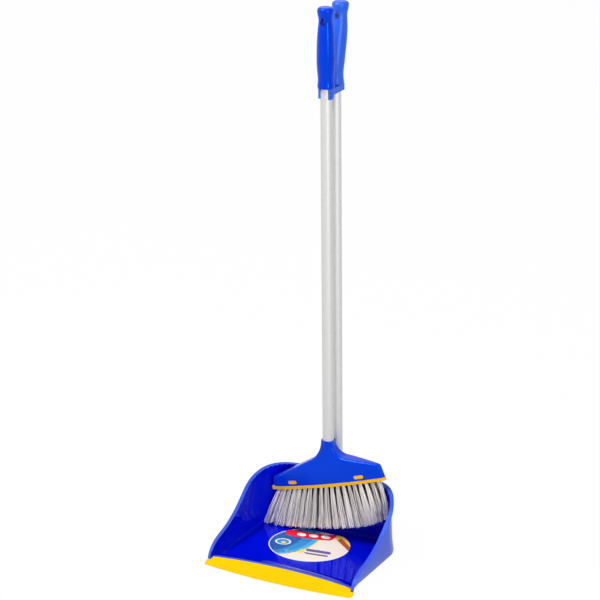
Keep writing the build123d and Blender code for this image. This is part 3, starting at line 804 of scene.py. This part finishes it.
# ---------------------------------------------------------------- operators
class DUSTPAN_OT_pan(bpy.types.Operator):
    """Give the pan its glossy blue plastic and its yellow lip"""

    bl_idname = "dustpan.pan"
    bl_label = "Pan and Lip"

    def execute(self, context):
        tints = context.scene.dust_pan_colours
        glossy = pan_plastic("Pan plastic", tints.pan_blue, tints.rim_blue)
        lip = moulded_plastic("Lip plastic", tints.lip_yellow, LIP_FINISH)
        dress("pan_body", glossy)
        dress("pan_lip", lip)
        return {"FINISHED"}


class DUSTPAN_OT_moulded_parts(bpy.types.Operator):
    """Give head, grips and clip their satin blue, and the block its yellow"""

    bl_idname = "dustpan.moulded_parts"
    bl_label = "Head, Grips, Clip and Block"

    def execute(self, context):
        tints = context.scene.dust_pan_colours
        blue = moulded_plastic("Satin blue plastic", tints.head_blue, HEAD_FINISH)
        yellow = moulded_plastic("Block plastic", tints.block_yellow, BLOCK_FINISH)
        pale = moulded_plastic("Matt blue plastic", tints.grip_blue, GRIP_FINISH)
        for node in HEAD_NODES:
            dress(node, blue)
        for node in GRIP_NODES:
            dress(node, pale)
        dress("bristle_block", yellow)
        return {"FINISHED"}


class DUSTPAN_OT_tubes(bpy.types.Operator):
    """Give the tubes drawn aluminium, and their hidden ends grey plastic and wire"""

    bl_idname = "dustpan.tubes"
    bl_label = "Tubes and Fittings"

    def execute(self, context):
        tints = context.scene.dust_pan_colours
        silver = satin_tube("Satin aluminium", tints.tube_silver)
        screw = moulded_plastic("Screw end plastic", SCREW_GREY, SCREW_FINISH)
        wire = satin_tube("Tinned wire", WIRE_GREY)
        for node in TUBE_NODES:
            dress(node, silver)
        for node in SCREW_NODES:
            dress(node, screw)
        dress("tuft_anchors", wire)
        return {"FINISHED"}


class DUSTPAN_OT_sticker(bpy.types.Operator):
    """Print the oval sticker on the pan's floor with plain shapes"""

    bl_idname = "dustpan.sticker"
    bl_label = "Sticker"

    def execute(self, context):
        dress("floor_sticker", printed_film("Printed film"))
        return {"FINISHED"}


class DUSTPAN_OT_bristles(bpy.types.Operator):
    """Grow loose filaments in the place of each row's solid tufts"""

    bl_idname = "dustpan.bristles"
    bl_label = "Bristles"

    def execute(self, context):
        sizes = context.scene.bristle_sizes
        finish = bristle_finish("Grey filament", context.scene.dust_pan_colours.bristle_grey)
        filament = model_filament()
        walls = pan_walls()
        chance = random.Random(sizes.seed)
        for row in ROWS:
            piece = grow_row(row, sizes, filament, walls, chance)
            piece.data.materials.append(finish)
            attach(piece, body_of(row.node))
            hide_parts(row.node)
        return {"FINISHED"}


def soft_lamp(lamp, power):
    """A rectangular lamp, pointed at the object."""
    light = bpy.data.lights.new(lamp.name, "AREA")
    light.shape = "RECTANGLE"
    light.size, light.size_y = lamp.size
    light.energy = power
    made = bpy.data.objects.new(lamp.name, light)
    made.location = lamp.place
    way = Vector(lamp.aim) - Vector(lamp.place)
    made.rotation_euler = way.to_track_quat("-Z", "Y").to_euler()
    bpy.context.scene.collection.objects.link(made)


def seen_not_lit(tree):
    """1 where a surface is seen by the camera, in gloss or through glass, and 0 as a light."""
    path = tree.nodes.new("ShaderNodeLightPath")
    seen = path.outputs["Is Camera Ray"]
    for ray in ("Is Glossy Ray", "Is Transmission Ray"):
        seen = math_node(tree, "MAXIMUM", seen, path.outputs[ray])
    return seen


def white_world(sky):
    """Soft light from all round, which looks plain white to the camera and in gloss."""
    world = bpy.data.worlds.new("Studio")
    world.use_nodes = True
    tree = world.node_tree
    background = tree.nodes["Background"]
    strength = math_node(tree, "MULTIPLY_ADD", seen_not_lit(tree), 1.0 - sky, sky)
    tree.links.new(strength, background.inputs["Strength"])
    background.inputs["Color"].default_value = WHITE
    bpy.context.scene.world = world


def pale_floor(size):
    """A white floor that keeps only a breath of shadow."""
    deselect()
    bpy.ops.mesh.primitive_grid_add(
        x_subdivisions=2, y_subdivisions=2, size=size, location=(0, 0, CAD_BOX[0][2])
    )
    floor = bpy.context.active_object
    floor.name = "studio_floor"
    material, tree, skin = new_material("Pale floor")
    skin.inputs["Base Color"].default_value = FLOOR_WHITE
    skin.inputs["Roughness"].default_value = FLOOR_ROUGHNESS
    skin.inputs["Specular IOR Level"].default_value = 0.0
    glow = add_node(tree, "ShaderNodeEmission", {"Color": WHITE, "Strength": 1.0})
    share = math_node(tree, "MULTIPLY", seen_not_lit(tree), FLOOR_GLOW)
    mixed = add_node(
        tree, "ShaderNodeMixShader", {0: share, 1: skin.outputs[0], 2: glow.outputs[0]}
    )
    tree.links.new(mixed.outputs[0], tree.nodes["Material Output"].inputs["Surface"])
    floor.data.materials.append(material)


def aimed_camera(settings):
    """The camera, looking from its place at its aim."""
    camera = bpy.data.objects.new("Camera", bpy.data.cameras.new("Camera"))
    camera.data.lens = settings.lens
    camera.data.sensor_width = SENSOR_WIDTH
    eye, aim = Vector(settings.eye), Vector(settings.aim)
    level = (aim - eye).to_track_quat("-Z", "Y")
    roll = Matrix.Rotation(settings.roll, 3, "Z").to_quaternion()
    camera.location = eye
    camera.rotation_euler = (level @ roll).to_euler()
    return camera


class DUSTPAN_OT_studio(bpy.types.Operator):
    """Set up the camera, the lamps and the white studio round the object"""

    bl_idname = "dustpan.studio"
    bl_label = "Studio"

    def execute(self, context):
        settings = context.scene.studio_settings
        camera = aimed_camera(settings)
        context.scene.collection.objects.link(camera)
        context.scene.camera = camera
        white_world(settings.sky)
        pale_floor(settings.floor_size)
        soft_lamp(KEY_LAMP, settings.key)
        soft_lamp(SIDE_LAMP, settings.side)
        context.scene.view_settings.view_transform = "Standard"
        return {"FINISHED"}


STEPS = (
    DUSTPAN_OT_pan,
    DUSTPAN_OT_moulded_parts,
    DUSTPAN_OT_tubes,
    DUSTPAN_OT_sticker,
    DUSTPAN_OT_bristles,
    DUSTPAN_OT_studio,
)
SETTINGS = {
    "dust_pan_colours": DustPanColours,
    "bristle_sizes": BristleSizes,
    "studio_settings": StudioSettings,
}


class DUSTPAN_PT_panel(bpy.types.Panel):
    """Lists the steps and the sizes and colours that they use"""

    bl_idname = "DUSTPAN_PT_panel"
    bl_label = "Dust Pan and Broom"
    bl_space_type = "VIEW_3D"
    bl_region_type = "UI"
    bl_category = "Dust Pan"

    def draw(self, context):
        for step in STEPS:
            self.layout.operator(step.bl_idname)
        for group in SETTINGS:
            box = self.layout.box()
            values = getattr(context.scene, group)
            for name in values.bl_rna.properties.keys():
                if name not in ("rna_type", "name"):
                    box.prop(values, name)


def register():
    """Add the settings, the steps and the panel to Blender."""
    for made in (*SETTINGS.values(), *STEPS, DUSTPAN_PT_panel):
        bpy.utils.register_class(made)
    for name, group in SETTINGS.items():
        setattr(bpy.types.Scene, name, bpy.props.PointerProperty(type=group))


def unregister():
    """Take them out again."""
    for name in SETTINGS:
        delattr(bpy.types.Scene, name)
    for made in (DUSTPAN_PT_panel, *reversed(STEPS), *reversed(SETTINGS.values())):
        bpy.utils.unregister_class(made)


def main():
    """Dress the object step by step."""
    register()
    bpy.ops.dustpan.pan()
    bpy.ops.dustpan.moulded_parts()
    bpy.ops.dustpan.tubes()
    bpy.ops.dustpan.sticker()
    bpy.ops.dustpan.bristles()
    bpy.ops.dustpan.studio()


if __name__ == "__main__":
    main()
